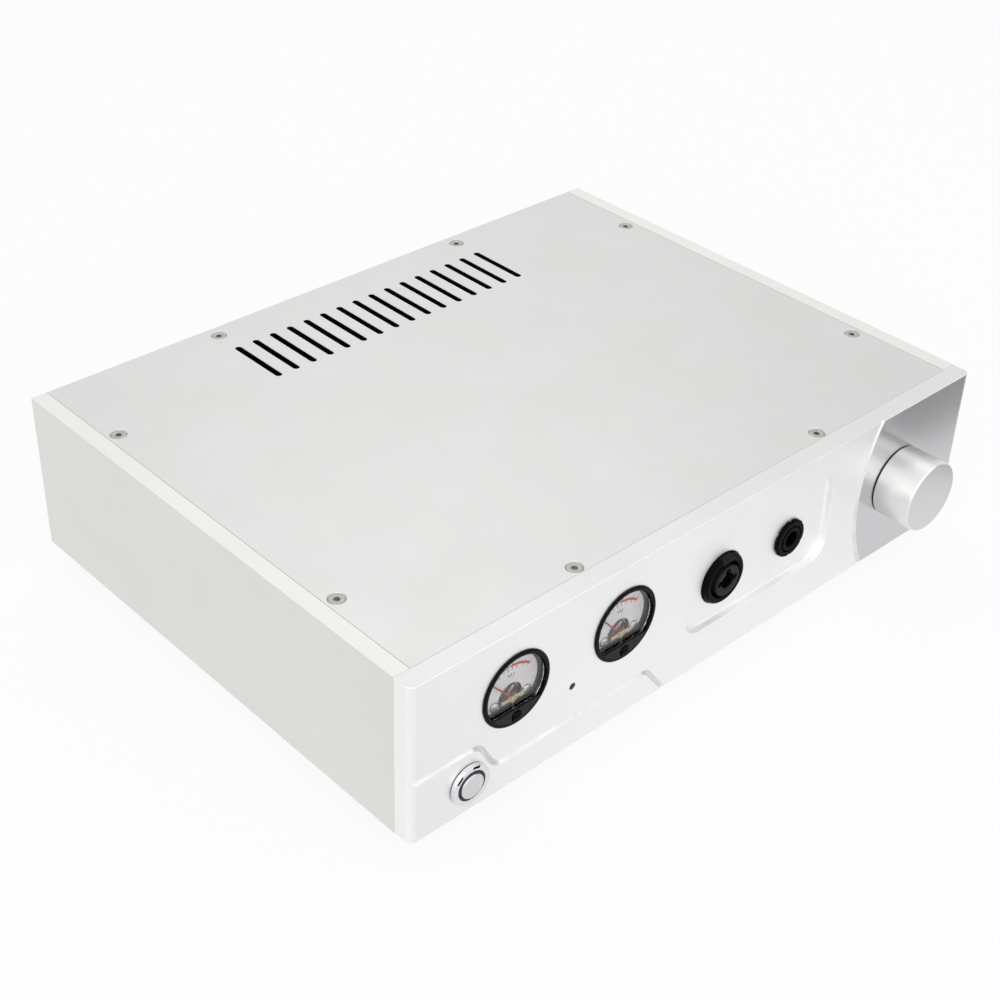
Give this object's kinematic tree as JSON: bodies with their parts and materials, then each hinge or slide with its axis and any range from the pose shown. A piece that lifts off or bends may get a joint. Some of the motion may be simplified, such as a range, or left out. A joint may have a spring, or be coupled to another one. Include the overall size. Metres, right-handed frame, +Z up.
{
  "type": "headphone amplifier",
  "caption": "Headphone amplifier in a satin aluminium case, with round level meters, a large turned volume knob, headphone sockets in a milled pocket and a round power button.",
  "frame": {"origin": "middle of the overall box, on the plane that the feet stand on", "axes": "+Z up, front panel facing -Y, +X to the right as seen from the front"},
  "size_m": [0.308, 0.2606, 0.0808],
  "materials": {
    "case_aluminium": "fine-blasted and clear-anodised, satin",
    "turned_aluminium": "turned, with fine rings",
    "heat_sink_aluminium": "extruded, bare",
    "screw_steel": "darkened steel",
    "plated_steel": "zinc or nickel plated",
    "black_gloss_plastic": "gloss",
    "black_plastic": "semi-matt moulded",
    "rubber_feet": "matt",
    "clear_window": "clear and flat",
    "dial_enamel": "matt white",
    "copper_winding": "lacquered wire",
    "gold_plate": "bright",
    "circuit_board": "lacquered",
    "winding_tape": "yellow tape",
    "capacitor_sleeve": "shrunk sleeve"
  },
  "bodies": {
    "case": {"bottom_cover": "case_aluminium", "combo_socket_body": "black_plastic", "cover_screw_1": "screw_steel", "cover_screw_2": "screw_steel", "cover_screw_3": "screw_steel", "cover_screw_4": "screw_steel", "cover_screw_5": "screw_steel", "cover_screw_6": "screw_steel", "cover_screw_7": "screw_steel", "cover_screw_8": "screw_steel", "filter_capacitor_1": "capacitor_sleeve", "filter_capacitor_2": "capacitor_sleeve", "foot_1": "rubber_feet", "foot_2": "rubber_feet", "foot_3": "rubber_feet", "foot_4": "rubber_feet", "front_panel": "case_aluminium", "heat_sink_1": "heat_sink_aluminium", "heat_sink_2": "heat_sink_aluminium", "indicator_lens": "black_plastic", "left_side_panel": "case_aluminium", "main_board": "circuit_board", "mains_inlet": "black_plastic", "meter_left_case": "black_gloss_plastic", "meter_left_dial": "dial_enamel", "meter_left_magnet": "plated_steel", "meter_left_window": "clear_window", "meter_right_case": "black_gloss_plastic", "meter_right_dial": "dial_enamel", "meter_right_magnet": "plated_steel", "meter_right_window": "clear_window", "phone_jack_body": "black_plastic", "phone_jack_nut": "black_plastic", "pot_body": "plated_steel", "pot_nut": "plated_steel", "power_button_body": "turned_aluminium", "power_button_nut": "plated_steel", "power_button_ring": "black_gloss_plastic", "rca_socket_1": "gold_plate", "rca_socket_2": "gold_plate", "rca_socket_3": "gold_plate", "rca_socket_4": "gold_plate", "rear_panel": "case_aluminium", "right_side_panel": "case_aluminium", "top_cover": "case_aluminium", "transformer_bolt": "plated_steel", "transformer_clamp": "plated_steel", "transformer_core": "winding_tape"},
    "volume_control": {"volume_knob": "turned_aluminium", "pot_shaft": "plated_steel"},
    "power_button": {"power_button_cap": "turned_aluminium"},
    "left_movement": {"meter_left_pointer": "copper_winding"},
    "right_movement": {"meter_right_pointer": "copper_winding"},
    "left_zero_screw": {"meter_left_zero_screw": "black_plastic"},
    "right_zero_screw": {"meter_right_zero_screw": "black_plastic"},
    "release_tab": {"combo_release_tab": "black_plastic"},
    "fuse_holder": {"fuse_drawer": "black_plastic"}
  },
  "joints": [
    {"name": "volume_turn", "type": "hinge", "parent": "case", "child": "volume_control", "pos_m": [0.1115, -0.1125, 0.0454], "axis": [0, 1, 0], "range_deg": [-150, 150]},
    {"name": "power_press", "type": "slide", "parent": "case", "child": "power_button", "axis": [0, 1, 0], "range_m": [0, 0.0025], "stiffness_N_per_m": 300},
    {"name": "left_pointer_swing", "type": "hinge", "parent": "case", "child": "left_movement", "pos_m": [-0.106, -0.1125, 0.0489], "axis": [0, 1, 0], "range_deg": [0, 84], "stiffness_Nm_per_rad": 0.000005},
    {"name": "right_pointer_swing", "type": "hinge", "parent": "case", "child": "right_movement", "pos_m": [-0.052, -0.1125, 0.0489], "axis": [0, 1, 0], "range_deg": [0, 84], "stiffness_Nm_per_rad": 0.000005},
    {"name": "left_zero_turn", "type": "hinge", "parent": "case", "child": "left_zero_screw", "pos_m": [-0.106, -0.1125, 0.0423], "axis": [0, 1, 0], "range_deg": [-30, 30]},
    {"name": "right_zero_turn", "type": "hinge", "parent": "case", "child": "right_zero_screw", "pos_m": [-0.052, -0.1125, 0.0423], "axis": [0, 1, 0], "range_deg": [-30, 30]},
    {"name": "release_press", "type": "slide", "parent": "case", "child": "release_tab", "axis": [0, 1, 0], "range_m": [0, 0.0012], "stiffness_N_per_m": 400},
    {"name": "fuse_drawer_slide", "type": "slide", "parent": "case", "child": "fuse_holder", "axis": [0, 1, 0], "range_m": [0, 0.018]}
  ]
}
